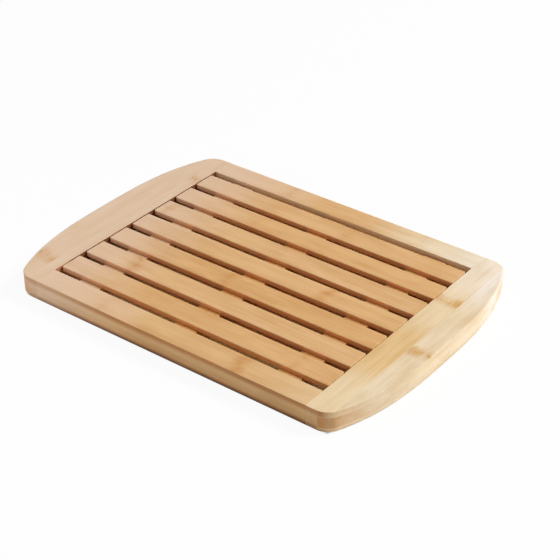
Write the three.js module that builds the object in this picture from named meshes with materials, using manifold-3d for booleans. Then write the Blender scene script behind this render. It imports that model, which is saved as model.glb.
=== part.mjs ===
// Bread board with a crumb tray and a lift-out slatted grid, in millimetres, +Z up.
// The origin is under the middle of the board, on its underside, and +X points to its right end.
import * as THREE from "three";
import { mergeVertices } from "three/addons/utils/BufferGeometryUtils.js";
import Module from "manifold-3d";

const wasm = await Module();
wasm.setup();

// Slats of the grid, which run left to right
const SLAT_COUNT = 7;
const SLAT_WIDTH = 24;
const SLAT_THICKNESS = 5;
const SLAT_GAP = 8;
const SLAT_CORNER_RADIUS = 1.5;
const SLAT_TOP_RADIUS = 1;
const SLAT_BOTTOM_RADIUS = 0.5;

// Bars across the underside of the slats, which stand on the floor of the recess
const BAR_WIDTH = 24;
const BAR_INSET = 26; // from the end of the recess to the outer bars
const CRUMB_SPACE = 6; // from the floor to the underside of the slats
const HOUSING_DEPTH = 1; // each slat is let this far into each bar
const BAR_CORNER_RADIUS = 1.5;
const BAR_EDGE_RADIUS = 0.6;

// Recess that the grid lies in
const RECESS_LENGTH = 302;
const GRID_CLEARANCE = 1.2; // all round the grid

// Frame of two rails and two end caps
const RAIL_WIDTH = 24;
const CAP_WIDTH = 45; // at the middle of the board's end
const END_BOW = 24.5; // how far the bowed end draws back towards the corners
const BOW_POWER_SHARE = 3; // a higher power keeps the middle of the end straighter
const CORNER_RADIUS = 18;
const TOP_EDGE_RADIUS = 1;
const BOTTOM_EDGE_RADIUS = 5;

// Floor panel, held by a tongue in a groove round the frame
const PANEL_THICKNESS = 8;
const UNDERSIDE_RECESS = 4; // the panel stays this far above the surface the board stands on
const TONGUE_LENGTH = 5;
const TONGUE_THICKNESS = 4;
const TONGUE_END_GAP = 0.8; // room for the panel to swell in its groove

// Dowels between rails and caps, and pins between bars and slats
const DOWEL_RADIUS = 4;
const DOWEL_REACH = 16; // into the rail and into the cap
const PIN_RADIUS = 2;
const PIN_REACH = 3; // into the slat
const PIN_RELIEF = 0.4; // the pin stops short of the bar's underside
const PEG_CHAMFER_SHARE = 0.2; // of the peg's radius
const GLUE_GAP = 0.3; // round a peg and past its end

// Steps of the curves, and how far a cutting block overruns what it cuts
const BOW_STEPS = 9;
const BOARD_CORNER_STEPS = 6;
const BOARD_EDGE_STEPS = 4;
const GRID_CORNER_STEPS = 2;
const GRID_EDGE_STEPS = 2;
const DOWEL_SIDES = 16;
const PIN_SIDES = 10;
const TANGENT_STEPS = 12;
const CUT_OVERRUN = 10;

// Sizes that follow from the ones above
const SLAT_PITCH = SLAT_WIDTH + SLAT_GAP;
const RECESS_WIDTH = SLAT_COUNT * SLAT_PITCH + SLAT_GAP;
const RECESS_HALF_LENGTH = RECESS_LENGTH / 2;
const RECESS_HALF_WIDTH = RECESS_WIDTH / 2;
const BOARD_HALF_LENGTH = RECESS_HALF_LENGTH + CAP_WIDTH;
const BOARD_HALF_WIDTH = RECESS_HALF_WIDTH + RAIL_WIDTH;
const FLOOR_LEVEL = UNDERSIDE_RECESS + PANEL_THICKNESS;
const BOARD_THICKNESS = FLOOR_LEVEL + CRUMB_SPACE + SLAT_THICKNESS;
const SLAT_LENGTH = RECESS_LENGTH - 2 * GRID_CLEARANCE;
const BAR_LENGTH = RECESS_WIDTH - 2 * GRID_CLEARANCE;
const BAR_HEIGHT = CRUMB_SPACE + HOUSING_DEPTH;
const OUTER_BAR_X = RECESS_HALF_LENGTH - BAR_INSET - BAR_WIDTH / 2;
const TONGUE_BOTTOM = UNDERSIDE_RECESS + (PANEL_THICKNESS - TONGUE_THICKNESS) / 2;
const GROOVE_DEPTH = TONGUE_LENGTH + TONGUE_END_GAP;
const DOWEL_Y = RECESS_HALF_WIDTH + (GROOVE_DEPTH + RAIL_WIDTH) / 2;
const DOWEL_Z = BOARD_THICKNESS / 2;
const PIN_LENGTH = CRUMB_SPACE + PIN_REACH - PIN_RELIEF;

const BAR_PLACES = { left: -OUTER_BAR_X, middle: 0, right: OUTER_BAR_X };
const FINISHES = {
  cap: { color: 0xe6cda6, roughness: 0.55, metalness: 0 },
  rail: { color: 0xdfbb8b, roughness: 0.55, metalness: 0 },
  panel: { color: 0xcfa271, roughness: 0.6, metalness: 0 },
  slat: { color: 0xdeb582, roughness: 0.5, metalness: 0 },
  bar: { color: 0xc8935f, roughness: 0.6, metalness: 0 },
  peg: { color: 0xd8bb90, roughness: 0.7, metalness: 0 },
};

// Closed solid of a geometry whose faces point outwards
function solidOf(geometry) {
  geometry.deleteAttribute("normal");
  geometry.deleteAttribute("uv");
  const merged = mergeVertices(geometry);
  const vertProperties = new Float32Array(merged.attributes.position.array);
  const triVerts = new Uint32Array(merged.index.array);
  return new wasm.Manifold(new wasm.Mesh({ numProp: 3, vertProperties, triVerts }));
}

function geometryOf(solid) {
  const mesh = solid.getMesh();
  const geometry = new THREE.BufferGeometry();
  geometry.setAttribute("position", new THREE.BufferAttribute(mesh.vertProperties, 3));
  geometry.setIndex(new THREE.BufferAttribute(mesh.triVerts, 1));
  geometry.computeVertexNormals();
  return geometry;
}

function block(low, high) {
  const size = new THREE.Vector3().subVectors(high, low);
  const middle = new THREE.Vector3().addVectors(low, high).divideScalar(2);
  return solidOf(new THREE.BoxGeometry(...size).translate(...middle));
}

// Block centred on the Z axis, from one level to another
function plate(length, width, bottom, top) {
  const low = new THREE.Vector3(-length / 2, -width / 2, bottom);
  return block(low, new THREE.Vector3(length / 2, width / 2, top));
}

// Points of a quarter outline, each with its outward normal, repeated round all four quarters.
// A point on the X axis belongs to the back half alone, so that it isn't repeated.
function mirrorQuarter(quarter) {
  const flip = (points, x, y) => points.map((p) => ({ x: p.x * x, y: p.y * y, nx: p.nx * x, ny: p.ny * y }));
  const offAxis = quarter.filter((p) => p.y > 0);
  return [
    ...quarter,
    ...flip(quarter.toReversed(), -1, 1),
    ...flip(offAxis, -1, -1),
    ...flip(offAxis.toReversed(), 1, -1),
  ];
}

function cornerArc(x, y, radius, startAngle, steps) {
  const arc = [];
  for (let i = 0; i <= steps; i++) {
    const angle = startAngle + (Math.PI / 2 - startAngle) * (i / steps);
    const nx = Math.cos(angle);
    const ny = Math.sin(angle);
    arc.push({ x: x + radius * nx, y: y + radius * ny, nx, ny });
  }
  return arc;
}

function rectangleOutline(length, width, radius) {
  return mirrorQuarter(cornerArc(length / 2 - radius, width / 2 - radius, radius, 0, GRID_CORNER_STEPS));
}

// Angle of the bowed end's outward normal, and the end's X, at a distance from the middle of the end
function bowAngle(y) {
  const steepest = (BOW_POWER_SHARE * END_BOW) / BOARD_HALF_WIDTH;
  return Math.atan(steepest * (y / BOARD_HALF_WIDTH) ** (BOW_POWER_SHARE - 1));
}

function bowX(y) {
  return BOARD_HALF_LENGTH - END_BOW * (y / BOARD_HALF_WIDTH) ** BOW_POWER_SHARE;
}

// Where the corner arc takes over from the bow, found by stepping towards the shared tangent
function cornerStart() {
  let y = BOARD_HALF_WIDTH;
  for (let i = 0; i < TANGENT_STEPS; i++) {
    y = BOARD_HALF_WIDTH - CORNER_RADIUS * (1 - Math.sin(bowAngle(y)));
  }
  return y;
}

function boardOutline() {
  const start = cornerStart();
  const quarter = [];
  for (let i = 0; i < BOW_STEPS; i++) {
    const y = start * (i / BOW_STEPS);
    const angle = bowAngle(y);
    quarter.push({ x: bowX(y), y, nx: Math.cos(angle), ny: Math.sin(angle) });
  }
  const angle = bowAngle(start);
  const x = bowX(start) - CORNER_RADIUS * Math.cos(angle);
  const arc = cornerArc(x, BOARD_HALF_WIDTH - CORNER_RADIUS, CORNER_RADIUS, angle, BOARD_CORNER_STEPS);
  return mirrorQuarter([...quarter, ...arc]);
}

// Insets and levels of the rings that round a slab's bottom and top edges
function edgeRings(height, topRadius, bottomRadius, steps) {
  const bottom = [];
  const top = [];
  for (let i = 0; i <= steps; i++) {
    const angle = (Math.PI / 2) * (i / steps);
    const rise = 1 - Math.cos(angle);
    const draw = 1 - Math.sin(angle);
    bottom.push({ inset: bottomRadius * draw, z: bottomRadius * rise });
    top.push({ inset: topRadius * rise, z: height - topRadius * draw });
  }
  return [...bottom, ...top];
}

// Upright solid of an outline, with its underside at zero and its top and bottom edges rounded
function slab(outline, height, topRadius, bottomRadius, steps) {
  const rings = edgeRings(height, topRadius, bottomRadius, steps);
  const positions = [];
  for (const { inset, z } of rings) {
    for (const p of outline) {
      positions.push(p.x - inset * p.nx, p.y - inset * p.ny, z);
    }
  }
  const count = outline.length;
  const index = [];
  for (let ring = 0; ring + 1 < rings.length; ring++) {
    for (let i = 0; i < count; i++) {
      const a = ring * count + i;
      const b = ring * count + ((i + 1) % count);
      index.push(a, b, b + count, a, b + count, a + count);
    }
  }
  const topStart = (rings.length - 1) * count;
  const contour = outline.map((p) => new THREE.Vector2(p.x, p.y));
  for (const [a, b, c] of THREE.ShapeUtils.triangulateShape(contour, [])) {
    index.push(topStart + a, topStart + b, topStart + c, c, b, a);
  }
  const geometry = new THREE.BufferGeometry();
  geometry.setAttribute("position", new THREE.Float32BufferAttribute(positions, 3));
  geometry.setIndex(index);
  return solidOf(geometry);
}

// Round peg along Z with chamfered ends, its lower end at zero
function peg(radius, length, sides) {
  const chamfer = PEG_CHAMFER_SHARE * radius;
  const profile = [
    new THREE.Vector2(0, 0),
    new THREE.Vector2(radius - chamfer, 0),
    new THREE.Vector2(radius, chamfer),
    new THREE.Vector2(radius, length - chamfer),
    new THREE.Vector2(radius - chamfer, length),
    new THREE.Vector2(0, length),
  ];
  return new THREE.LatheGeometry(profile, sides).rotateX(Math.PI / 2);
}

// Straight round hole for a peg, with room for glue, which starts below the peg's lower end
function pegHole(radius, length, sides, below) {
  const depth = below + length + GLUE_GAP;
  const hole = new THREE.CylinderGeometry(radius + GLUE_GAP, radius + GLUE_GAP, depth, sides);
  return hole.rotateX(Math.PI / 2).translate(0, 0, depth / 2 - below);
}

function addPiece(group, name, geometry, finish) {
  const piece = new THREE.Mesh(geometry, new THREE.MeshStandardMaterial(finish));
  piece.name = name;
  group.add(piece);
  return piece;
}

// Places of the four dowels: a name, and the side of the board along X and along Y
function dowelPlaces() {
  const places = [];
  for (const [depth, sideY] of [["front", -1], ["back", 1]]) {
    for (const [hand, sideX] of [["left", -1], ["right", 1]]) {
      places.push({ name: depth + "_" + hand, sideX, sideY });
    }
  }
  return places;
}

function buildFrame(tray) {
  const outline = boardOutline();
  const blank = slab(outline, BOARD_THICKNESS, TOP_EDGE_RADIUS, BOTTOM_EDGE_RADIUS, BOARD_EDGE_STEPS);
  const groove = plate(
    RECESS_LENGTH + 2 * GROOVE_DEPTH,
    RECESS_WIDTH + 2 * GROOVE_DEPTH,
    TONGUE_BOTTOM,
    TONGUE_BOTTOM + TONGUE_THICKNESS,
  );
  let stock = blank.subtract(groove);
  for (const { sideX, sideY } of dowelPlaces()) {
    const hole = pegHole(DOWEL_RADIUS, 2 * DOWEL_REACH, DOWEL_SIDES, GLUE_GAP);
    hole.rotateY(Math.PI / 2);
    hole.translate(sideX * RECESS_HALF_LENGTH - DOWEL_REACH, sideY * DOWEL_Y, DOWEL_Z);
    stock = stock.subtract(solidOf(hole));
  }
  const reachX = BOARD_HALF_LENGTH + CUT_OVERRUN;
  const reachY = BOARD_HALF_WIDTH + CUT_OVERRUN;
  const top = BOARD_THICKNESS + CUT_OVERRUN;
  const cut = (x0, x1, y0, y1) =>
    stock.intersect(block(new THREE.Vector3(x0, y0, -CUT_OVERRUN), new THREE.Vector3(x1, y1, top)));
  const leftCap = cut(-reachX, -RECESS_HALF_LENGTH, -reachY, reachY);
  const rightCap = cut(RECESS_HALF_LENGTH, reachX, -reachY, reachY);
  const frontRail = cut(-RECESS_HALF_LENGTH, RECESS_HALF_LENGTH, -reachY, -RECESS_HALF_WIDTH);
  const backRail = cut(-RECESS_HALF_LENGTH, RECESS_HALF_LENGTH, RECESS_HALF_WIDTH, reachY);
  addPiece(tray, "left_end_cap", geometryOf(leftCap), FINISHES.cap);
  addPiece(tray, "right_end_cap", geometryOf(rightCap), FINISHES.cap);
  addPiece(tray, "front_rail", geometryOf(frontRail), FINISHES.rail);
  addPiece(tray, "back_rail", geometryOf(backRail), FINISHES.rail);
}

function buildFloorPanel(tray) {
  const field = plate(RECESS_LENGTH, RECESS_WIDTH, UNDERSIDE_RECESS, FLOOR_LEVEL);
  const tongue = plate(
    RECESS_LENGTH + 2 * TONGUE_LENGTH,
    RECESS_WIDTH + 2 * TONGUE_LENGTH,
    TONGUE_BOTTOM,
    TONGUE_BOTTOM + TONGUE_THICKNESS,
  );
  addPiece(tray, "floor_panel", geometryOf(field.add(tongue)), FINISHES.panel);
}

function buildDowels(tray) {
  for (const { name, sideX, sideY } of dowelPlaces()) {
    const geometry = peg(DOWEL_RADIUS, 2 * DOWEL_REACH, DOWEL_SIDES).rotateY(Math.PI / 2);
    const dowel = addPiece(tray, "corner_dowel_" + name, geometry, FINISHES.peg);
    dowel.position.set(sideX * RECESS_HALF_LENGTH - DOWEL_REACH, sideY * DOWEL_Y, DOWEL_Z);
  }
}

function slatY(number) {
  return (number - (SLAT_COUNT + 1) / 2) * SLAT_PITCH;
}

function slatNumbers() {
  return Array.from({ length: SLAT_COUNT }, (_, i) => i + 1);
}

// The slats, with a blind hole for the pin at each bar
function buildSlats(grid) {
  const outline = rectangleOutline(SLAT_LENGTH, SLAT_WIDTH, SLAT_CORNER_RADIUS);
  let slat = slab(outline, SLAT_THICKNESS, SLAT_TOP_RADIUS, SLAT_BOTTOM_RADIUS, GRID_EDGE_STEPS);
  for (const x of Object.values(BAR_PLACES)) {
    const hole = pegHole(PIN_RADIUS, PIN_REACH, PIN_SIDES, CUT_OVERRUN).translate(x, 0, 0);
    slat = slat.subtract(solidOf(hole));
  }
  for (const number of slatNumbers()) {
    const piece = addPiece(grid, "slat_" + number, geometryOf(slat), FINISHES.slat);
    piece.position.set(0, slatY(number), CRUMB_SPACE);
  }
}

// The bars, with a housing for each slat and a through hole for its pin
function buildBars(grid) {
  const outline = rectangleOutline(BAR_WIDTH, BAR_LENGTH, BAR_CORNER_RADIUS);
  let bar = slab(outline, BAR_HEIGHT, BAR_EDGE_RADIUS, BAR_EDGE_RADIUS, GRID_EDGE_STEPS);
  for (const number of slatNumbers()) {
    const y = slatY(number);
    const low = new THREE.Vector3(-BAR_WIDTH, y - SLAT_WIDTH / 2, CRUMB_SPACE);
    const high = new THREE.Vector3(BAR_WIDTH, y + SLAT_WIDTH / 2, BAR_HEIGHT + CUT_OVERRUN);
    const hole = pegHole(PIN_RADIUS, CRUMB_SPACE, PIN_SIDES, CUT_OVERRUN).translate(0, y, 0);
    bar = bar.subtract(block(low, high)).subtract(solidOf(hole));
  }
  for (const [place, x] of Object.entries(BAR_PLACES)) {
    const piece = addPiece(grid, "cross_bar_" + place, geometryOf(bar), FINISHES.bar);
    piece.position.set(x, 0, 0);
  }
}

function buildPins(grid) {
  for (const [place, x] of Object.entries(BAR_PLACES)) {
    for (const number of slatNumbers()) {
      const geometry = peg(PIN_RADIUS, PIN_LENGTH, PIN_SIDES);
      const pin = addPiece(grid, "pin_" + place + "_" + number, geometry, FINISHES.peg);
      pin.position.set(x, slatY(number), PIN_RELIEF);
    }
  }
}

const board = new THREE.Group();

const tray = new THREE.Group();
buildFrame(tray);
buildFloorPanel(tray);
buildDowels(tray);
board.add(tray);

const grid = new THREE.Group();
grid.position.set(0, 0, FLOOR_LEVEL);
buildSlats(grid);
buildBars(grid);
buildPins(grid);
board.add(grid);

export default board;
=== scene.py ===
"""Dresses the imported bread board: bamboo frame, crumb recess and lift-out slatted grid, in metres, +Z up."""

import math
from collections import namedtuple

import bmesh
import bpy
from bpy.props import FloatProperty, FloatVectorProperty, PointerProperty
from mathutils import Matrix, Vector


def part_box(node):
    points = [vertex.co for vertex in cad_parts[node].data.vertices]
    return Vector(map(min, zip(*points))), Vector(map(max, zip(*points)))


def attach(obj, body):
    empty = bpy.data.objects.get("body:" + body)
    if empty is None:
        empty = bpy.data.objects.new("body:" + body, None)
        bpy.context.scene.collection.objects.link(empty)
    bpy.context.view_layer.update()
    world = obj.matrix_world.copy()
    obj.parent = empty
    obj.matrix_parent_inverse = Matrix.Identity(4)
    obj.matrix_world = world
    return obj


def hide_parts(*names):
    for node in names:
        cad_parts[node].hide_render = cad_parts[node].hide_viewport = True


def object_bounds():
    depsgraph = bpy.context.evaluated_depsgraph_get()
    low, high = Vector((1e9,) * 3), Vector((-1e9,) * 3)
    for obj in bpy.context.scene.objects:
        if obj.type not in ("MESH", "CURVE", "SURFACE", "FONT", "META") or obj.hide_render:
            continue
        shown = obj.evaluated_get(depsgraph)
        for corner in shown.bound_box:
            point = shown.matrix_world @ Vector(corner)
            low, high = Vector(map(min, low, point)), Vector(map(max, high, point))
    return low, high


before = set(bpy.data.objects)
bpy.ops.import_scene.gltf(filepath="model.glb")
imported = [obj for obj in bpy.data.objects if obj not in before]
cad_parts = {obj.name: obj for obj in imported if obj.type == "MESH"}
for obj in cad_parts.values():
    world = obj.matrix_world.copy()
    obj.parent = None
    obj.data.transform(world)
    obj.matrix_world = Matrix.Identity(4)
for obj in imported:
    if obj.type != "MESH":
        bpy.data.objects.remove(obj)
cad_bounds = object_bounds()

bl_info = {
    "name": "Slatted Bread Board",
    "version": (1, 0, 0),
    "blender": (4, 5, 0),
    "location": "View3D > Sidebar > Bread Board",
    "description": "Builds a bamboo bread board whose slatted grid lifts out of a crumb recess",
    "category": "Add Mesh",
}

MM = 0.001

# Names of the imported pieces, and sizes that follow from their boxes
SLATS = sorted(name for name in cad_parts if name.startswith("slat_"))
BARS = sorted(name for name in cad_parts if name.startswith("cross_bar_"))
PINS = sorted(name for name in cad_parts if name.startswith("pin_"))
DOWELS = sorted(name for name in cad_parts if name.startswith("corner_dowel_"))
SLAT_LOW, SLAT_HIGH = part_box(SLATS[0])
SLAT_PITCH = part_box(SLATS[1])[0].y - SLAT_LOW.y
BAR_PITCH = -sum(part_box("cross_bar_left"), Vector()).x / 2
BAR_HALF = (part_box("cross_bar_left")[1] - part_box("cross_bar_left")[0]).x / 2
BOARD_LOW, BOARD_HIGH = cad_bounds
RECESS_HALF_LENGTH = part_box("front_rail")[1].x
RECESS_HALF_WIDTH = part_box("back_rail")[0].y
BOARD_HALF_WIDTH = BOARD_HIGH.y
BOARD_HALF_LENGTH = BOARD_HIGH.x
PANEL_LOW, PANEL_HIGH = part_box("floor_panel")

# Steps of the curves, and how far from each rounded edge a supporting line of vertices runs
BOW_STEPS = 36
CORNER_STEPS = 12
EDGE_STEPS = 8
SMALL_CORNER_STEPS = 4
BEVEL_STEPS = 3
TANGENT_STEPS = 12
HOLE_SIDES = 32
SHARP_ANGLE = math.radians(30)
SUPPORT = 0.25 * MM
MERGE_DISTANCE = 0.001 * MM

# Joinery hidden inside the frame and the grid
TONGUE_THICKNESS = 4 * MM
GROOVE_END_GAP = 0.8 * MM
GLUE_GAP = 0.3 * MM

# A point of an outline: its place, outward normal, and the radii of the top and bottom edges there
EdgePoint = namedtuple("EdgePoint", "x y nx ny top under")


def paint(code):
    """Linear colour of a six-digit screen colour."""
    shares = [int(code[i:i + 2], 16) / 255 for i in (0, 2, 4)]
    return tuple(s / 12.92 if s <= 0.04045 else ((s + 0.055) / 1.055) ** 2.4 for s in shares)


def length_property(name, description, default):
    """A length in metres."""
    return FloatProperty(name=name, description=description, default=default, min=0, unit="LENGTH")


def colour_property(name, description, code):
    """A colour, given by its screen code."""
    return FloatVectorProperty(
        name=name, description=description, default=paint(code), min=0, max=1, subtype="COLOR"
    )


def angle_property(name, description, degrees):
    """An angle, given in degrees."""
    return FloatProperty(name=name, description=description, default=math.radians(degrees), unit="ROTATION")


def share_property(name, description, default, most=1.0):
    """A plain number from 0 to its most."""
    return FloatProperty(name=name, description=description, default=default, min=0, max=most)


class BoardShape(bpy.types.PropertyGroup):
    """Curves and rounded edges of the board."""

    end_bow: length_property("End bow", "How far the bowed end draws back towards the corners", 24.5 * MM)
    bow_power: share_property("Bow power", "Higher keeps the middle of the end straighter", 3.0, 8.0)
    corner_radius: length_property("Corner radius", "Round corner seen from above", 18 * MM)
    top_edge: length_property("Top edge", "Rounding of the outer top edge", 1 * MM)
    bottom_edge: length_property("Bottom edge", "Rounding of the outer bottom edge", 5 * MM)
    rim_edge: length_property("Rim edge", "Rounding of the rim of the recess", 0.4 * MM)
    slat_top_edge: length_property("Slat top edge", "Rounding of a slat's top edges", 1 * MM)
    slat_under_edge: length_property("Slat under edge", "Rounding of a slat's lower edges", 0.5 * MM)
    slat_end_edge: length_property("Slat end edge", "Rounding of the top edge at a slat's ends", 0.4 * MM)
    slat_corner: length_property("Slat corner", "Round corner of a slat seen from above", 1.5 * MM)
    bar_edge: length_property("Bar edge", "Rounding of the cross bars' edges", 0.5 * MM)


class BambooLook(bpy.types.PropertyGroup):
    """Colours and grain of the bamboo, and tints of its plies and its painted shade."""

    cap_colour: colour_property("End caps", "Colour of the end caps", "e2c89f")
    rail_colour: colour_property("Rails", "Colour of the front and back rails", "d6ab76")
    slat_colour: colour_property("Slats", "Colour of the slats", "d6a871")
    panel_colour: colour_property("Floor panel", "Colour of the floor of the recess", "ecc490")
    # Deeper and redder than the slats: partly the bars' own tone, partly painted shade under the slats
    bar_shaded_colour: colour_property("Cross bars", "Colour of the bars under the slats", "c2894e")
    peg_colour: colour_property("Pegs", "Colour of dowels and pins", "d6b88c")
    washed_colour: colour_property("Washed end", "Greyer colour that the left end drifts to", "dec2ab")
    # Tint of the plies on the sides, which also carries their painted shade
    ply_and_shade_tint: colour_property("Edge tint", "Tint of the dark bands and plies on the sides", "e0c098")
    # Painted shade on the slats' long walls, warm as from light bouncing between them
    wall_shade_tint: colour_property("Wall tint", "Tint of the slats' long walls", "f1ceb2")
    stain_tint: colour_property("Stain tint", "Tint of the stained knuckles", "e7cb9e")
    fibre_contrast: share_property("Fibre contrast", "How much the fibres vary the wood", 0.75)
    knuckle_contrast: share_property("Knuckle contrast", "How much the knuckles darken the wood", 1.0)
    roughness: share_property("Roughness", "Roughness of the oiled surface", 0.6)


class StudioSetup(bpy.types.PropertyGroup):
    """Floor, lamps and camera."""

    floor_colour: colour_property("Floor", "Colour of the pale floor", "e6e6e6")
    sky_behind: share_property("Sky behind", "Even light from the back half", 0.155, 5.0)
    sky_in_front: share_property("Sky in front", "Even light from the front half", 0.26, 5.0)
    key_power: share_property("Key power", "Power of the large lamp behind on the right", 110.0, 900.0)
    key_size: length_property("Key size", "Width of the large lamp", 1.0)
    key_distance: length_property("Key distance", "From the lamp to the board", 3.2)
    fill_power: share_property("Fill power", "Power of the small lamp in front on the left", 2.5, 100.0)
    fill_size: length_property("Fill size", "Width of the small lamp", 0.5)
    fill_distance: length_property("Fill distance", "From the small lamp to the board", 0.9)
    azimuth: angle_property("Camera azimuth", "Turn round the board, from straight in front", 37.17)
    elevation: angle_property("Camera elevation", "Angle of the view above the floor", 32.99)
    distance: length_property("Camera distance", "From the camera to the point it looks at", 1.3645)
    lens: FloatProperty(name="Lens", description="Focal length", default=97.03, min=1, unit="CAMERA")


class Wire:
    """An output of a shader node; arithmetic on wires and numbers adds Math nodes."""

    def __init__(self, shade, socket):
        self.shade = shade
        self.socket = socket

    def math(self, operation, *others):
        return self.shade.node("Math", {"operation": operation}, dict(enumerate((self, *others))))

    def __add__(self, other):
        return self.math("ADD", other)

    __radd__ = __add__

    def __sub__(self, other):
        return self.math("SUBTRACT", other)

    def __rsub__(self, other):
        return self.shade.node("Math", {"operation": "SUBTRACT"}, {0: other, 1: self})

    def __mul__(self, other):
        return self.math("MULTIPLY", other)

    def __truediv__(self, other):
        return self.math("DIVIDE", other)

    def __abs__(self):
        return self.math("ABSOLUTE")

    def floor(self):
        return self.math("FLOOR")

    def fraction(self):
        return self.math("FRACT")


class Shade:
    """The node tree of a material or world, to which expressions add nodes."""

    def __init__(self, owner):
        owner.use_nodes = True
        self.owner = owner
        self.tree = owner.node_tree
        self.tree.nodes.clear()

    def node(self, kind, settings=None, sockets=None, output=0):
        """Adds a node, sets it, feeds its sockets and gives the wire of one output."""
        node = self.tree.nodes.new("ShaderNode" + kind)
        for name, value in (settings or {}).items():
            setattr(node, name, value)
        for key, value in (sockets or {}).items():
            if isinstance(value, Wire):
                self.tree.links.new(value.socket, node.inputs[key])
            else:
                node.inputs[key].default_value = value
        return Wire(self, node.outputs[output]) if node.outputs else None

    def noise(self, vector, detail):
        """Soft noise round 0.5; higher detail adds finer noise."""
        sockets = {"Vector": vector, "Scale": 1.0, "Detail": detail, "Roughness": 0.5}
        return self.node("TexNoise", {"noise_dimensions": "3D"}, sockets)

    def chance(self, number, seed):
        """The same number from 0 to 1 for the same strip and seed."""
        return self.node("TexWhiteNoise", {"noise_dimensions": "1D"}, {"W": number + seed})

    def step(self, value, low, high):
        """Rises smoothly from 0 to 1 as the value goes from low to high."""
        sockets = {"Value": value, "From Min": low, "From Max": high}
        return self.node("MapRange", {"interpolation_type": "SMOOTHSTEP"}, sockets)

    def vector(self, x, y, z):
        return self.node("CombineXYZ", sockets={"X": x, "Y": y, "Z": z})

    def split(self, vector):
        """The X, Y and Z of a vector."""
        separate = self.tree.nodes.new("ShaderNodeSeparateXYZ")
        self.tree.links.new(vector.socket, separate.inputs[0])
        return [Wire(self, output) for output in separate.outputs]

    def stain(self, factor, wood, tint):
        """The wood times a tint, as far as the factor says."""
        return self.blend(factor, wood, opaque(tint), "MULTIPLY")

    def blend(self, factor, first, second, mode="MIX"):
        """The first colour mixed with the second, as far as the factor says."""
        settings = {"data_type": "RGBA", "blend_type": mode}
        return self.node("Mix", settings, {0: factor, 6: first, 7: second}, output=2)

    def finish(self, sockets, height):
        """Principled surface with a bump, whose height is a wire in metres."""
        sockets["Normal"] = self.node("Bump", sockets={"Strength": 1.0, "Distance": 1.0, "Height": height})
        surface = self.node("BsdfPrincipled", sockets=sockets)
        self.node("OutputMaterial", sockets={"Surface": surface})
        return self.owner


def opaque(colour):
    """A colour with its fourth share, the alpha."""
    return (*colour, 1.0)


# How a piece's strips lie: the axis of the fibres, one edge between strips and their width, the tone of the
# strip beyond that edge and how much tones vary, where that strip's knuckle lies, the shift of the knuckles
# from strip to strip, their spacing, and a seed for how strong each one is
Grain = namedtuple("Grain", "along edge width tone contrast knuckle shift spacing seed")

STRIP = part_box("front_rail")[1].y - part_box("front_rail")[0].y
RAIL_STRIPS = 10
RAIL_STRIP = (RECESS_HALF_WIDTH - BOARD_LOW.y) / RAIL_STRIPS
RIGHT_CAP_GRAIN = Grain("y", RECESS_HALF_LENGTH + STRIP, STRIP, 0.08, 0.7, -25 * MM, -83 * MM, 230 * MM, 1)
LEFT_CAP_GRAIN = Grain("y", -RECESS_HALF_LENGTH - STRIP / 2, STRIP, 0.4, 0.3, 92 * MM, 195 * MM, 250 * MM, 2)
RAIL_GRAIN = Grain("x", BOARD_LOW.y, RAIL_STRIP, 0.6, 0.3, 76 * MM, 31 * MM, 150 * MM, 3)
SLAT_GRAIN = Grain("x", SLAT_LOW.y, SLAT_PITCH, 0.55, 0.3, -180 * MM, 83 * MM, 290 * MM, 4)
PANEL_GRAIN = Grain("x", 0.0, STRIP, 0.5, 0.5, 40 * MM, 97 * MM, 260 * MM, 5)
BAR_GRAIN = Grain("y", 0.0, 2 * SLAT_PITCH, 0.5, 0.5, 60 * MM, 45 * MM, 240 * MM, 6)
PEG_GRAIN = Grain("x", 0.0, SLAT_PITCH, 0.5, 0.5, 0.0, 0.0, 300 * MM, 7)

# Tone from strip to strip, between a paler and a deeper tint, and the washed, greyer left end
TONE_STEP = 0.618
PALE_STRIP = (1.07, 1.22, 1.56)
DEEP_STRIP = (0.95, 0.85, 0.58)
WASHED_RANGE = (0.3 * RECESS_HALF_LENGTH, 1.1 * RECESS_HALF_LENGTH)
WASHED_SHARE = 0.8

# Noise drawn out along the grain: how fast it varies along and across it, per metre
DRIFT = (4.0, 55.0)
MOTTLE = (24.0, 95.0)
STREAKS = (9.0, 400.0)
HAIRS = (35.0, 1700.0)
DASHES = (55.0, 2300.0)
SWAY = (20.0, 45.0)
BLOTCHES = (45.0, 110.0)
BREAKS = (60.0, 260.0)
FINE, COARSE = 2.0, 1.0
STRIP_SHIFT = 5.0

# What each kind of fibre adds to the tone, how the tone deepens the wood, and its calm at the washed end
MOTTLE_SHARE = 1.1
STREAK_SHARE = 0.55
HAIR_SHARE = 0.8
DASH_RANGE = (0.1, 0.28)
DASH_SHARE = 0.2
MIDDLE_TONE = 0.42
TONE_SPREAD = 1.5
CALM_TONE = 0.4
WASHED_CALM = 0.5
FIBRE_TINT = (0.84, 0.75, 0.62)

# The golden stretch round a piece's first knuckle
GOLDEN_SHIFT = 13 * MM
GOLDEN_RANGE = (20 * MM, 62 * MM)
GOLDEN_INNER, GOLDEN_MARGIN, GOLDEN_ELSEWHERE = 0.8, 0.3, 0.05
INNER_RANGE = (-0.08, 0.0)
MARGIN = 4 * MM
MARGIN_END = 0.4
GOLDEN_TINT = (0.92, 0.78, 0.56)

# Knuckles: how much they sway and fray, how strong they are, and the width of their line and stain
SWAY_REACH = 20 * MM
FRAY = 14 * MM
ROW_OFFSET = 7.0
LEAST_STRENGTH, STRENGTH_SPREAD = 0.1, 0.3
BLOTCH_RANGE = (-0.12, 0.16)
BREAK_RANGE = (-0.1, 0.1)
LINE_RANGE = (0.3 * MM, 2.2 * MM)
STAIN_RANGE = (2 * MM, 10 * MM)
LEAST_STAIN = 0.5

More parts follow.
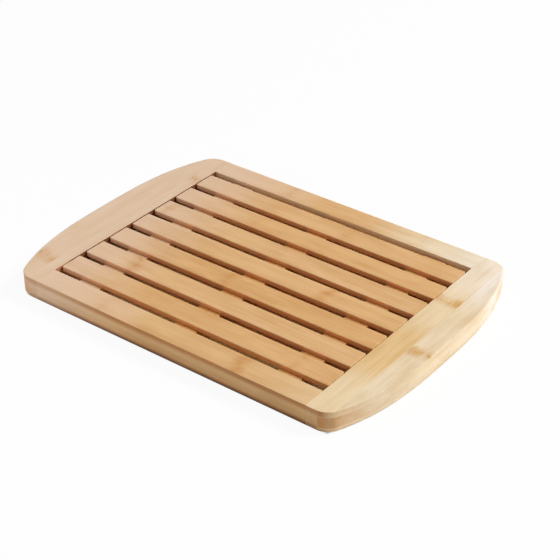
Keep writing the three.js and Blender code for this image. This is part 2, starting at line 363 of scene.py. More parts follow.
# Which faces count as upright, and the small height and gloss of fibres and knuckles
TOP_RANGE = (0.35, 0.75)
UNDERSIDE_RANGE = (0.7, 0.95)
UPRIGHT_FADE = 0.95
WASHED_FADE = 0.4
FIBRE_HEIGHT = 0.03 * MM
KNUCKLE_HEIGHT = 0.04 * MM
STREAK_ROUGHNESS = 0.2
KNUCKLE_ROUGHNESS = 0.1


def tinted(colour, tint):
    """A colour times a tint, no share above 1."""
    return opaque([min(1.0, c * t) for c, t in zip(colour, tint)])


def golden_stretch(shade, length, row, grain):
    """Round the first knuckle: most in the strips before the grain's edge, then along each strip's margin."""
    near = 1 - shade.step(abs(length - grain.knuckle + GOLDEN_SHIFT), *GOLDEN_RANGE)
    margin = shade.step(row.fraction(), 1 - MARGIN / grain.width, 1 - MARGIN / grain.width * MARGIN_END)
    inner = 1 - shade.step(row, *INNER_RANGE)
    return near * (inner * GOLDEN_INNER + margin * GOLDEN_MARGIN + GOLDEN_ELSEWHERE)


def knuckles(shade, fibres, length, strip, streaks, grain):
    """A soft stain across each strip round a broken line, some stronger than others."""
    sway = fibres(SWAY, COARSE) * SWAY_REACH
    along_cane = (length + sway - grain.knuckle - strip * grain.shift) / grain.spacing + 0.5
    first = 1 - shade.step(abs(along_cane.floor()), 0.0, 1.0)
    chance = shade.chance(along_cane.floor() + strip * ROW_OFFSET, grain.seed)
    strength = chance * STRENGTH_SPREAD + LEAST_STRENGTH + first * grain.contrast
    from_knuckle = abs(along_cane.fraction() - 0.5) * grain.spacing + streaks * FRAY
    blotches = shade.step(fibres(BLOTCHES, COARSE), *BLOTCH_RANGE)
    broken = shade.step(fibres(BREAKS, COARSE), *BREAK_RANGE)
    line = (1 - shade.step(from_knuckle, *LINE_RANGE)) * broken
    stain = (1 - shade.step(from_knuckle, *STAIN_RANGE)) * (blotches * (1 - LEAST_STAIN) + LEAST_STAIN)
    return (line + stain) * strength


def bamboo(name, colour, grain, accents=None):
    """Oiled bamboo pressed from strips; accents changes its colour at single places, such as the sides, and
    paints light and shade there.
    """
    look = bpy.context.scene.bamboo_look
    shade = Shade(bpy.data.materials.new(name))
    place = shade.split(shade.node("TexCoord", output="Object"))
    facing = shade.split(shade.node("TexCoord", output="Normal"))
    x, y, z = place
    length, width = (x, y) if grain.along == "x" else (y, x)
    row = (width - grain.edge) / grain.width
    strip = row.floor()
    tone = (strip * TONE_STEP + grain.tone).fraction()
    shift = tone * STRIP_SHIFT

    def fibres(scales, detail=FINE):
        """Noise around zero that is drawn out along the grain."""
        along, across = scales
        spot = shade.vector((length + shift) * along, (width + shift) * across, (z + shift) * across)
        return shade.noise(spot, detail) - 0.5

    # Tone of each strip, and the greyer left end
    tone_factor = 0.5 + (tone - 0.5) * grain.contrast
    wood = shade.blend(tone_factor, tinted(colour, PALE_STRIP), tinted(colour, DEEP_STRIP))
    washed = shade.step(0 - x, *WASHED_RANGE)
    wood = shade.blend(washed * WASHED_SHARE, wood, opaque(look.washed_colour))

    # Slow drift and mottle along the strip, streaks, fine hairs and short dashes
    streaks = fibres(STREAKS)
    hairs = fibres(HAIRS)
    dashes = shade.step(fibres(DASHES, COARSE), *DASH_RANGE)
    fibre_tone = fibres(DRIFT) + fibres(MOTTLE) * MOTTLE_SHARE
    fibre_tone = fibre_tone + streaks * STREAK_SHARE + hairs * HAIR_SHARE + dashes * DASH_SHARE
    deepening = shade.step(MIDDLE_TONE + fibre_tone * look.fibre_contrast * TONE_SPREAD, 0.0, 1.0)
    deepening = (deepening - CALM_TONE) * (1 - washed * WASHED_CALM) + CALM_TONE
    wood = shade.stain(deepening, wood, FIBRE_TINT)

    # Golden stretch, and knuckles that stay off the upright faces
    wood = shade.stain(golden_stretch(shade, length, row, grain) * (1 - washed), wood, GOLDEN_TINT)
    upright = (1 - shade.step(facing[2], *TOP_RANGE)) * (1 - shade.step(0 - facing[2], *UNDERSIDE_RANGE))
    knuckle = knuckles(shade, fibres, length, strip, streaks, grain) * (1 - upright * UPRIGHT_FADE)
    wood = shade.stain(knuckle * look.knuckle_contrast, wood, look.stain_tint)

    if accents:
        wood = accents(shade, wood, place, facing, upright * (1 - washed * WASHED_FADE))
    height = (streaks + hairs) * FIBRE_HEIGHT + knuckle * KNUCKLE_HEIGHT
    roughness = look.roughness + streaks * STREAK_ROUGHNESS + knuckle * KNUCKLE_ROUGHNESS
    return shade.finish({"Base Color": wood, "Roughness": roughness}, height)


# Accents: plies, bands and painted shade by height, and how strongly they tell
PLY = BOARD_HIGH.z / 4
JOINT = 0.7 * MM
JOINT_SHARE = 2.0
CORE_LAYER = 1.4 * MM
LAYER_RANGE = (0.25, 0.5)
LEAST_LAYER = 0.85
CORE_SHARE, CORE_FRONT_SHARE = 0.8, 0.3
LEAST_PLY = 0.4
TOP_BAND = 21 * MM
BAND_REACH = 5.5 * MM
CORNER_BAND_SHARE = 0.55
DEEPER_MIDDLE = 10 * MM
DEEPER_RANGE = (30 * MM, 80 * MM)
DEEPER_SHARE = 0.2
# Lower part of a side: painted shade darkening towards the floor, the darker bottom ply, and a painted contact
# shadow at the foot
LOWER_RANGE = (11 * MM, 14 * MM)
LOWER_SHARE = 0.2
BOTTOM_BAND = (5 * MM, 9 * MM)
RAIL_BOTTOM_SHARE, CAP_BOTTOM_SHARE = 0.7, 0.3
FOOT_SHADE_RANGE = (4 * MM, 7.5 * MM)
CORNER_FOOT_SHADE_RANGE = (2.5 * MM, 5.5 * MM)

# Accents by the way that a face looks: how much of its normal points to one side, up, or to front or back
ONE_WAY = (0.5, 0.9)
NEARLY_LEVEL = (0.9, 1.0)
TILT_RISE = 0.25
FRONT_TILT, END_TILT = 0.1, 0.05
FRONT_FACING = (0.1, 0.4)
END_FACING = (0.1, 0.5)
FLAT_TURN = (0.985, 0.9999)
BAND_TURN = (0.88, 0.97)
FRONT_TURN = (0.8, 0.95)
CORE_TURN = (0.15, 0.48)
PLY_TURN = (0.75, 0.95)
FOOT_TURN = (0.5, 1.0)
CORNER_TURN = (0.1, 0.5)
FLAT_SHARE = 0.45
CORNER_FADE = 0.6

# Accents by place along the board and across it
WALL_DEPTH = 1.5 * MM
WALL_SHARE = 0.6
PALE_RAIL_RANGE = (70 * MM, 180 * MM)
PALE_RAIL_SHARE = 0.5
WASHED_RAIL_RANGE = (20 * MM, 60 * MM)
WASHED_RAIL_SHARE = 0.3
FRONT_HIGHLIGHT_RANGE = (-150 * MM, -30 * MM)
BACK_RAIL_X = (10 * MM, 100 * MM)
BACK_RAIL_Y = (0.0, RECESS_HALF_WIDTH)
RIGHT_X = (0.0, RECESS_HALF_LENGTH)
BACK_CORNER_Y = (40 * MM, 115 * MM)
RIGHT_SIDE_Y = (-90 * MM, -25 * MM)
RIGHT_SIDE_Z = (0.0, 20 * MM)
FRONT_CORNER_RANGE = (94 * MM, 104 * MM)
PANEL_FRONT_X = (-70 * MM, 40 * MM)
PANEL_FRONT_RANGE = (86 * MM, 102 * MM)
BAR_FADE = 2 * MM

# Tints of the accents, most of them painted shade or painted light
# Painted shade on the lower sides and at their foot, also deepening the dark top band
SHADE_AND_BAND_TINT = (0.45, 0.42, 0.5)
# Painted shade on the left wall of the recess, and less of it in its lit front corner
INSIDE_SHADE_TINT = (0.29, 0.14, 0.07)
FRONT_CORNER_LIT_TINT = (0.72, 0.43, 0.33)
CORNER_TINT = (1.04, 0.93, 0.82)
# Painted shade on the rounded top edge of the end, where the lamp lights it most
END_EDGE_SHADE_TINT = (0.84, 0.84, 0.84)
# Painted highlight along the rounded front top edge
FRONT_HIGHLIGHT_TINT = (1.27, 1.28, 1.28)
# Painted highlights at the back right, as glare from behind makes the wood paler there
BACK_RAIL_GLARE_TINT = (1.14, 1.47, 2.2)
BACK_CORNER_GLARE_TINT = (1.06, 1.16, 1.46)
# Painted highlight on part of the right side
RIGHT_SIDE_GLARE_TINT = (1.1, 1.12, 1.13)
# Painted bounce light on the recess floor along the front rail
PANEL_BOUNCE_TINT = (1.12, 1.5, 1.9)
# Painted light: paler slat ends in the shaded gaps, and bounce light over the bars on the slats' front walls
SLAT_END_LIT_TINT = (1.12, 1.3, 1.45)
BAR_BOUNCE_TINT = (1.25, 1.3, 1.35)


def core_mask(shade, z):
    """1 in the core, falling to 0 within a joint's width before each outer ply."""
    above = shade.step(z, PLY - JOINT, PLY + JOINT)
    return above * (1 - shade.step(z, BOARD_HIGH.z - PLY - JOINT, BOARD_HIGH.z - PLY + JOINT))


def top_band(shade, z):
    """1 along the middle of the dark band below the top edge, partly the top ply and partly painted shade,
    falling to 0 on both sides.
    """
    return 1 - shade.step(abs(z - TOP_BAND), 0.0, BAND_REACH)


def one_way(shade, share):
    """1 on faces that look one way, by that share of their normal."""
    return shade.step(share, *ONE_WAY)


def rounded_top(shade, up, start):
    """1 on a rounded top edge, between the upright side and the level top."""
    return shade.step(up, start, start + TILT_RISE) * (1 - shade.step(up, *NEARLY_LEVEL))


def side_bands_and_shade(shade, wood, place, amount, bottom_share):
    """A side along the rails: a soft dark band below the top edge, partly the top ply and partly painted
    shade, and a lower part darkened downwards, partly the bottom ply and partly painted shade, with a painted
    contact shadow at the foot.
    """
    x, _, z = place
    band = top_band(shade, z)
    deeper = shade.step(abs(x - DEEPER_MIDDLE), *DEEPER_RANGE) * DEEPER_SHARE
    # Painted shade, darker towards the floor
    lower = 1 - shade.step(z, *LOWER_RANGE)
    bottom = 1 - shade.step(z, *BOTTOM_BAND)
    bands = band + lower * LOWER_SHARE + bottom * bottom_share
    wood = shade.stain(bands * amount, wood, bpy.context.scene.bamboo_look.ply_and_shade_tint)
    wood = shade.stain(band * deeper * amount, wood, SHADE_AND_BAND_TINT)
    # Painted contact shadow along the foot
    return shade.stain((1 - shade.step(z, *FOOT_SHADE_RANGE)) * amount, wood, SHADE_AND_BAND_TINT)


def front_edge_highlight(shade, wood, place, facing):
    """A painted highlight on the rounded top edge along the front, lighter than both faces beside it except at
    the left.
    """
    edge = rounded_top(shade, facing[2], FRONT_TILT) * shade.step(place[0], *FRONT_HIGHLIGHT_RANGE)
    return shade.stain(edge * shade.step(0 - facing[1], *FRONT_FACING), wood, FRONT_HIGHLIGHT_TINT)


def rail_accents(shade, wood, place, facing, amount):
    """A rail's top, paler to the right and greyer to the left, with a painted highlight at the back right, its
    outer side and its wall in the recess.
    """
    look = bpy.context.scene.bamboo_look
    x, y, _ = place
    pale = shade.step(x, *PALE_RAIL_RANGE) * (1 - amount) * PALE_RAIL_SHARE
    wood = shade.blend(pale, wood, opaque(look.cap_colour))
    washed = shade.step(0 - x, *WASHED_RAIL_RANGE) * (1 - amount) * WASHED_RAIL_SHARE
    wood = shade.blend(washed, wood, opaque(look.washed_colour))
    # Painted highlight: the back right of the rail paler, as under glare from behind
    back_right_glare = shade.step(x, *BACK_RAIL_X) * shade.step(y, *BACK_RAIL_Y)
    wood = shade.stain(back_right_glare, wood, BACK_RAIL_GLARE_TINT)
    outer = shade.step(abs(y), RECESS_HALF_WIDTH + WALL_DEPTH, RECESS_HALF_WIDTH + 2 * WALL_DEPTH)
    wood = side_bands_and_shade(shade, wood, place, outer * amount, RAIL_BOTTOM_SHARE)
    wood = front_edge_highlight(shade, wood, place, facing)
    return shade.blend((1 - outer) * amount * WALL_SHARE, wood, opaque(look.cap_colour))


def corner_plies(shade, wood, z, turn, flat, amount):
    """A cap's side where it turns round a corner: a dark core between plies, with painted shade that grows as
    the side faces the front, painted highlights along the joints, a painted contact shadow at the foot, and a
    warm tint.
    """
    tint = bpy.context.scene.bamboo_look.ply_and_shade_tint
    band = top_band(shade, z) * shade.step(turn, *BAND_TURN) * (1 - flat) * amount
    wood = shade.stain(band * CORNER_BAND_SHARE, wood, SHADE_AND_BAND_TINT)
    layers = shade.step(abs((z / CORE_LAYER).fraction() - 0.5), *LAYER_RANGE)
    core = core_mask(shade, z)
    # Painted shade: the core darker the more the side faces the front
    core_share = CORE_SHARE + shade.step(turn, *FRONT_TURN) * CORE_FRONT_SHARE
    core_and_shade = core * shade.step(turn, *CORE_TURN) * (LEAST_LAYER + layers * (1 - LEAST_LAYER)) * core_share
    above = shade.step(z, BOARD_HIGH.z / 2, BOARD_HIGH.z - PLY)
    # Painted shade on the plies too, where the side faces the front
    plies = (1 - core) * shade.step(turn, *PLY_TURN) * (LEAST_PLY + above * (1 - LEAST_PLY))
    # Painted highlight along each joint between the plies and the core
    joint_highlights = core * (1 - core) * JOINT_SHARE
    wood = shade.stain((core_and_shade + plies - joint_highlights) * (1 - flat) * amount, wood, tint)
    wood = shade.stain(flat * amount * FLAT_SHARE, wood, tint)
    # Painted contact shadow at the foot of the corner
    foot = (1 - shade.step(z, *CORNER_FOOT_SHADE_RANGE)) * shade.step(turn, *FOOT_TURN)
    wood = shade.stain(foot * amount, wood, SHADE_AND_BAND_TINT)
    return shade.stain(shade.step(turn, *CORNER_TURN) * (1 - flat * CORNER_FADE) * amount, wood, CORNER_TINT)


def left_wall_shade(shade, wood, place, facing):
    """The left cap's wall in the recess: painted shade behind the slats, and less of it, as a lit reddish
    patch, in the front corner.
    """
    x, y, _ = place
    # Painted shade behind the slats, lighter where light reaches the front corner
    inside = 1 - shade.step(abs(x), RECESS_HALF_LENGTH + WALL_DEPTH, RECESS_HALF_LENGTH + 2 * WALL_DEPTH)
    inside = inside * one_way(shade, facing[0])
    front_corner = shade.step(0 - y, *FRONT_CORNER_RANGE)
    wood = shade.stain(inside * front_corner, wood, FRONT_CORNER_LIT_TINT)
    return shade.stain(inside * (1 - front_corner), wood, INSIDE_SHADE_TINT)


def cap_accents(shade, wood, place, facing, amount):
    """An end cap: painted highlights at its back right corner and on part of its right side, its sides,
    painted shade on the rounded edge of its end, and its wall in the recess.
    """
    x, y, z = place
    # Painted highlight at the back right corner, as under glare from behind
    back_right_glare = shade.step(x, *RIGHT_X) * shade.step(y, *BACK_CORNER_Y)
    wood = shade.stain(back_right_glare, wood, BACK_CORNER_GLARE_TINT)
    # Painted highlight on part of the right side
    right_side_glare = one_way(shade, facing[0]) * shade.step(x, *RIGHT_X)
    right_side_glare = right_side_glare * shade.step(y, *RIGHT_SIDE_Y) * shade.step(z, *RIGHT_SIDE_Z)
    wood = shade.stain(right_side_glare, wood, RIGHT_SIDE_GLARE_TINT)
    turn = abs(facing[1])
    flat = shade.step(turn, *FLAT_TURN)
    wood = side_bands_and_shade(shade, wood, place, flat * amount, CAP_BOTTOM_SHARE)
    wood = front_edge_highlight(shade, wood, place, facing)
    wood = corner_plies(shade, wood, z, turn, flat, amount)
    # Painted shade on the rounded top edge of the end, where the lamp lights it most
    end_edge_shade = rounded_top(shade, facing[2], END_TILT) * shade.step(facing[0], *END_FACING)
    wood = shade.stain(end_edge_shade, wood, END_EDGE_SHADE_TINT)
    return left_wall_shade(shade, wood, place, facing)


def panel_accents(shade, wood, place, facing, amount):
    """The floor of the recess, with painted bounce light along the front rail towards the right."""
    x, y, _ = place
    # Painted bounce light along the front rail, towards the right
    front = shade.step(0 - y, *PANEL_FRONT_RANGE) * shade.step(x, *PANEL_FRONT_X)
    return shade.stain(front, wood, PANEL_BOUNCE_TINT)


def slat_accents(shade, wood, place, facing, amount):
    """A slat's long walls in painted shade, deeper and warmer than its top, with painted bounce light in front
    over a bar, and its ends paler with painted light.
    """
    ends = one_way(shade, abs(facing[0]))
    # Painted shade on the long walls
    wood = shade.stain((1 - ends) * amount, wood, bpy.context.scene.bamboo_look.wall_shade_tint)
    # Painted bounce light over each bar on the front walls
    from_bar = abs((place[0] / BAR_PITCH + 0.5).fraction() - 0.5) * BAR_PITCH
    bar_bounce = 1 - shade.step(from_bar, BAR_HALF - BAR_FADE, BAR_HALF + BAR_FADE)
    bar_bounce = bar_bounce * one_way(shade, 0 - facing[1])
    wood = shade.stain(bar_bounce * amount, wood, BAR_BOUNCE_TINT)
    # Painted light lifting the shaded ends
    return shade.stain(ends, wood, SLAT_END_LIT_TINT)


def ring_of(point, low, high):
    """One outline point's places from the underside to the top, round both edges."""
    places = [(point.under + SUPPORT * bool(point.under), low)]
    for i in range(EDGE_STEPS + 1):
        angle = math.pi / 2 * i / EDGE_STEPS
        places.append((point.under * (1 - math.sin(angle)), low + point.under * (1 - math.cos(angle))))
    places.append((0.0, low + point.under + SUPPORT))
    places.append((0.0, high - point.top - SUPPORT))
    for i in range(EDGE_STEPS + 1):
        angle = math.pi / 2 * i / EDGE_STEPS
        places.append((point.top * (1 - math.cos(angle)), high - point.top * (1 - math.sin(angle))))
    places.append((point.top + SUPPORT * bool(point.top), high))
    return [(point.x - inset * point.nx, point.y - inset * point.ny, z) for inset, z in places]


def slab(name, outline, low, high):
    """Upright piece of an outline that runs anticlockwise, with its edges rounded as each point says."""
    rings = list(zip(*(ring_of(point, low, high) for point in outline)))
    mesh = bmesh.new()
    rows = [[mesh.verts.new(place) for place in ring] for ring in rings]
    for lower, upper in zip(rows, rows[1:]):
        for i in range(len(outline)):
            j = (i + 1) % len(outline)
            mesh.faces.new((lower[i], lower[j], upper[j], upper[i]))
    mesh.faces.new(rows[0][::-1])
    mesh.faces.new(rows[-1])
    bmesh.ops.remove_doubles(mesh, verts=mesh.verts, dist=MERGE_DISTANCE)
    return piece_of(name, mesh)


def piece_of(name, mesh):
    """Smooth-shaded object of a bmesh, which is freed."""
    data = bpy.data.meshes.new(name)
    mesh.to_mesh(data)
    mesh.free()
    data.shade_smooth()
    data.set_sharp_from_angle(angle=SHARP_ANGLE)
    piece = bpy.data.objects.new(name, data)
    bpy.context.scene.collection.objects.link(piece)
    return piece


def arc(x, y, radius, start, end, steps, edges):
    """Outline points round a centre, from one angle to another."""
    points = []
    for i in range(steps + 1):
        angle = start + (end - start) * i / steps
        nx, ny = math.cos(angle), math.sin(angle)
        points.append(EdgePoint(x + radius * nx, y + radius * ny, nx, ny, *edges))
    return points


def rectangle(low, high, corner, edges):
    """Outline of a rectangle with round corners."""
    points = []
    quarter = math.pi / 2
    for i, (x, y) in enumerate(((high.x, high.y), (low.x, high.y), (low.x, low.y), (high.x, low.y))):
        inward_x = x - math.copysign(corner, x - (low.x + high.x) / 2)
        inward_y = y - math.copysign(corner, y - (low.y + high.y) / 2)
        start = i * quarter
        points += arc(inward_x, inward_y, corner, start, start + quarter, SMALL_CORNER_STEPS, edges)
    return points


def bow_angle(y, shape):
    """Angle of the bowed end's outward normal."""
    steepest = shape.bow_power * shape.end_bow / BOARD_HALF_WIDTH
    return math.atan(steepest * (abs(y) / BOARD_HALF_WIDTH) ** (shape.bow_power - 1))


def bow_x(y, shape):
    """How far out the bowed end is at a place across the board."""
    return BOARD_HALF_LENGTH - shape.end_bow * (abs(y) / BOARD_HALF_WIDTH) ** shape.bow_power


def cap_outline(shape):
    """Outline of the right end cap: along the bow from front to back, then back along the recess."""
    # Step by step to the place where the round corner meets the bow
    start = BOARD_HALF_WIDTH
    for _ in range(TANGENT_STEPS):
        start = BOARD_HALF_WIDTH - shape.corner_radius * (1 - math.sin(bow_angle(start, shape)))

    angle = bow_angle(start, shape)
    x = bow_x(start, shape) - shape.corner_radius * math.cos(angle)
    y = BOARD_HALF_WIDTH - shape.corner_radius
    edges = (shape.top_edge, shape.bottom_edge)
    joint = RECESS_HALF_LENGTH
    points = [EdgePoint(joint, -BOARD_HALF_WIDTH, 0, -1, *edges)]
    points += arc(x, -y, shape.corner_radius, -math.pi / 2, -angle, CORNER_STEPS, edges)
    for i in range(1, BOW_STEPS):
        along = start * (2 * i / BOW_STEPS - 1)
        turn = math.copysign(bow_angle(along, shape), along)
        points.append(EdgePoint(bow_x(along, shape), along, math.cos(turn), math.sin(turn), *edges))
    points += arc(x, y, shape.corner_radius, angle, math.pi / 2, CORNER_STEPS, edges)
    points.append(EdgePoint(joint, BOARD_HALF_WIDTH, 0, 1, *edges))

    # The rim of the recess is rounded, but not where the rails meet the cap
    rim_end = RECESS_HALF_WIDTH - shape.rim_edge
    for side in (1, -1):
        ends = [EdgePoint(joint, side * RECESS_HALF_WIDTH, -1, 0, 0, 0)]
        ends.append(EdgePoint(joint, side * rim_end, -1, 0, shape.rim_edge, shape.rim_edge))
        points += ends[::side]
    return points


def mirrored(outline):
    """The same outline on the left, still anticlockwise."""
    return [p._replace(x=-p.x, nx=-p.nx) for p in reversed(outline)]


def box_cutter(low, high):
    """Box to cut with, from its lowest to its highest corner."""
    mesh = bmesh.new()
    bmesh.ops.create_cube(mesh, size=1.0)
    for vert in mesh.verts:
        vert.co = [(a + b) / 2 + (b - a) * c for a, b, c in zip(low, high, vert.co)]
    return piece_of("cutter", mesh)


def hole_cutters(nodes, axis):
    """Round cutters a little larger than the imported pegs, each running the way of its peg."""
    mesh = bmesh.new()
    for node in nodes:
        low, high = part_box(node)
        middle = (low + high) / 2
        size = high - low
        radius = min(size) / 2 + GLUE_GAP
        depth = max(size) + 2 * GLUE_GAP
        made = bmesh.ops.create_cone(
            mesh, cap_ends=True, segments=HOLE_SIDES, radius1=radius, radius2=radius, depth=depth
        )
        turn = Vector((0, 0, 1)).rotation_difference(Vector(axis)).to_matrix()
        for vert in made["verts"]:
            vert.co = turn @ vert.co + middle
    return piece_of("cutter", mesh)


def plain_copy(piece):
    """Applies a piece's modifiers to its own mesh."""
    graph = bpy.context.evaluated_depsgraph_get()
    data = bpy.data.meshes.new_from_object(piece.evaluated_get(graph))
    data.name = piece.name
    piece.modifiers.clear()
    piece.data = data


def cut(piece, *cutters):
    """Takes the cutters' shapes out of a piece and deletes them."""
    for cutter in cutters:
        boolean = piece.modifiers.new("cut", "BOOLEAN")
        boolean.operation = "DIFFERENCE"
        boolean.solver = "EXACT"
        boolean.object = cutter
    plain_copy(piece)
    for cutter in cutters:
        bpy.data.objects.remove(cutter)
    piece.data.shade_smooth()
    piece.data.set_sharp_from_angle(angle=SHARP_ANGLE)


def hand_over(piece, body, nodes, material):
    """Hands a finished piece over: its material, the body that it rides on and the nodes it stands for."""
    piece.data.materials.clear()
    piece.data.materials.append(material)
    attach(piece, body)
    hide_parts(*nodes)


def dress(node, material):
    """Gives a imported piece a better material."""
    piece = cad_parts[node]
    piece.data.materials.clear()
    piece.data.materials.append(material)


def joinery_cutters():
    """The groove for the floor panel's tongue, and the dowel holes."""
    reach = Vector((PANEL_HIGH.x + GROOVE_END_GAP, PANEL_HIGH.y + GROOVE_END_GAP, TONGUE_THICKNESS / 2))
    middle = Vector((0, 0, (PANEL_LOW.z + PANEL_HIGH.z) / 2))
    return box_cutter(middle - reach, middle + reach), hole_cutters(DOWELS, (1, 0, 0))


class BREADBOARD_OT_end_caps(bpy.types.Operator):
    """Builds the two bowed end caps"""

    bl_idname = "breadboard.end_caps"
    bl_label = "End Caps"

    def execute(self, context):
        look = context.scene.bamboo_look
        shape = context.scene.board_shape
        right = cap_outline(shape)
        for name, outline, grain in (
            ("right_end_cap", right, RIGHT_CAP_GRAIN),
            ("left_end_cap", mirrored(right), LEFT_CAP_GRAIN),
        ):
            wood = bamboo(name + "_wood", look.cap_colour, grain, cap_accents)
            cap = slab(name + "_bamboo", outline, BOARD_LOW.z, BOARD_HIGH.z)
            cut(cap, *joinery_cutters())
            hand_over(cap, "tray", [name], wood)
        return {"FINISHED"}


class BREADBOARD_OT_rails(bpy.types.Operator):
    """Builds the front and back rails"""

    bl_idname = "breadboard.rails"
    bl_label = "Rails"

    def execute(self, context):
        shape = context.scene.board_shape
        look = context.scene.bamboo_look
        outer = (shape.top_edge, shape.bottom_edge)
        inner = (shape.rim_edge, shape.rim_edge)
        wood = bamboo("rail_wood", look.rail_colour, RAIL_GRAIN, rail_accents)
        for name, front, back in (("front_rail", outer, inner), ("back_rail", inner, outer)):
            low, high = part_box(name)
            outline = [
                EdgePoint(low.x, low.y, 0, -1, *front),
                EdgePoint(high.x, low.y, 0, -1, *front),
                EdgePoint(high.x, high.y, 0, 1, *back),
                EdgePoint(low.x, high.y, 0, 1, *back),
            ]
            rail = slab(name + "_bamboo", outline, low.z, high.z)
            cut(rail, *joinery_cutters())
            hand_over(rail, "tray", [name], wood)
        return {"FINISHED"}


class BREADBOARD_OT_floor_panel(bpy.types.Operator):
    """Finishes the floor of the crumb recess"""

    bl_idname = "breadboard.floor_panel"
    bl_label = "Floor Panel"

    def execute(self, context):
        look = context.scene.bamboo_look
        wood = bamboo("panel_wood", look.panel_colour, PANEL_GRAIN, panel_accents)
        dress("floor_panel", wood)
        return {"FINISHED"}


def row_tree():
    """Node tree that repeats a piece along a row and gives the row its material."""
    tree = bpy.data.node_groups.new("repeat_in_a_row", "GeometryNodeTree")
    for name, kind in (
        ("Piece", "Geometry"),
        ("Count", "Int"),
        ("First", "Vector"),
        ("Step", "Vector"),
        ("Material", "Material"),
    ):
        tree.interface.new_socket(name, in_out="INPUT", socket_type="NodeSocket" + kind)
    tree.interface.new_socket("Row", in_out="OUTPUT", socket_type="NodeSocketGeometry")
    inputs = tree.nodes.new("NodeGroupInput")
    line = tree.nodes.new("GeometryNodeMeshLine")
    line.mode = "OFFSET"
    copies = tree.nodes.new("GeometryNodeInstanceOnPoints")
    realize = tree.nodes.new("GeometryNodeRealizeInstances")
    finish = tree.nodes.new("GeometryNodeSetMaterial")
    outputs = tree.nodes.new("NodeGroupOutput")
    for source, output, target, name in (
        (inputs, "Count", line, "Count"),
        (inputs, "First", line, "Start Location"),
        (inputs, "Step", line, "Offset"),
        (line, "Mesh", copies, "Points"),
        (inputs, "Piece", copies, "Instance"),
        (copies, "Instances", realize, "Geometry"),
        (realize, "Geometry", finish, "Geometry"),
        (inputs, "Material", finish, "Material"),
        (finish, "Geometry", outputs, "Row"),
    ):
        tree.links.new(source.outputs[output], target.inputs[name])
    return tree


def repeat(piece, count, first, step, material):
    """Repeats a piece along a row and leaves the row as its plain mesh."""
    modifier = piece.modifiers.new("row", "NODES")
    modifier.node_group = row_tree()
    values = {"Count": count, "First": first, "Step": step, "Material": material}
    for item in modifier.node_group.interface.items_tree:
        if item.name in values:
            modifier[item.identifier] = values[item.name]
    plain_copy(piece)


class BREADBOARD_OT_slats(bpy.types.Operator):
    """Builds the slats of the grid"""

    bl_idname = "breadboard.slats"
    bl_label = "Slats"

    def execute(self, context):
        shape = context.scene.board_shape
        look = context.scene.bamboo_look
        wood = bamboo("slat_wood", look.slat_colour, SLAT_GRAIN, slat_accents)
        middle = Vector((0, (SLAT_LOW.y + SLAT_HIGH.y) / 2, 0))
        edges = (shape.slat_top_edge, shape.slat_under_edge)
        outline = rectangle(SLAT_LOW - middle, SLAT_HIGH - middle, shape.slat_corner, edges)
        ends = shape.slat_end_edge
        outline = [p._replace(top=ends + (p.top - ends) * p.ny ** 2) for p in outline]
        slats = slab("slats", outline, SLAT_LOW.z, SLAT_HIGH.z)
        repeat(slats, len(SLATS), middle, Vector((0, SLAT_PITCH, 0)), wood)
        cut(slats, hole_cutters(PINS, (0, 0, 1)))
        hand_over(slats, "grid", SLATS, wood)
        return {"FINISHED"}


def bar_profile():
    """Side outline of a cross bar, along Y and up: a housing for each slat."""
    low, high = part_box(BARS[0])
    points = [(low.y, low.z), (high.y, low.z), (high.y, high.z)]
    for node in reversed(SLATS):
        slat_low, slat_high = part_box(node)
        points += [(slat_high.y, high.z), (slat_high.y, slat_low.z)]
        points += [(slat_low.y, slat_low.z), (slat_low.y, high.z)]
    return points + [(low.y, high.z)]


class BREADBOARD_OT_cross_bars(bpy.types.Operator):
    """Builds the bars that carry the slats"""

    bl_idname = "breadboard.cross_bars"
    bl_label = "Cross Bars"

    def execute(self, context):
        wood = bamboo("bar_wood", context.scene.bamboo_look.bar_shaded_colour, BAR_GRAIN)
        boxes = sorted((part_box(node) for node in BARS), key=lambda box: box[0].x)
        half = (boxes[0][1].x - boxes[0][0].x) / 2
        mesh = bmesh.new()
        near, far = ([mesh.verts.new((x, y, z)) for y, z in bar_profile()] for x in (half, -half))
        mesh.faces.new(near)
        mesh.faces.new(far[::-1])
        for i in range(len(near)):
            j = (i + 1) % len(near)
            mesh.faces.new((near[j], near[i], far[i], far[j]))
        bars = piece_of("cross_bars", mesh)
        bevel = bars.modifiers.new("edges", "BEVEL")
        bevel.width = context.scene.board_shape.bar_edge
        bevel.segments = BEVEL_STEPS
        first = Vector((boxes[0][0].x + half, 0, 0))
        repeat(bars, len(boxes), first, Vector((boxes[1][0].x - boxes[0][0].x, 0, 0)), wood)
        cut(bars, hole_cutters(PINS, (0, 0, 1)))
        hand_over(bars, "grid", BARS, wood)
        return {"FINISHED"}


class BREADBOARD_OT_pegs(bpy.types.Operator):
    """Finishes the dowels of the frame and the pins of the grid"""

    bl_idname = "breadboard.pegs"
    bl_label = "Pegs"

    def execute(self, context):
        wood = bamboo("peg_wood", context.scene.bamboo_look.peg_colour, PEG_GRAIN)
        for node in DOWELS + PINS:
            dress(node, wood)
        return {"FINISHED"}


# Stage: floor and lamps, and how far outside the board the floor turns white, seen or reflected
FLOOR_SIZE = 12.0
FLOOR_DROP = 0.05 * MM
AIM = Vector((23.4 * MM, -5.7 * MM, BOARD_HIGH.z))
KEY_DIRECTION = Vector((0.58, 0.42, 0.7)).normalized()
FILL_DIRECTION = Vector((-0.62, -0.72, 0.3)).normalized()
SEEN_EDGE = (-7 * MM, -2.5 * MM)
REFLECTED_EDGE = (0.0, 60 * MM)
SKY_RANGE = (-0.4, 0.6)
SENSOR_WIDTH = 36.0
WHITE = (1.0, 1.0, 1.0)
SEEN_WHITE_SHARE = 0.94


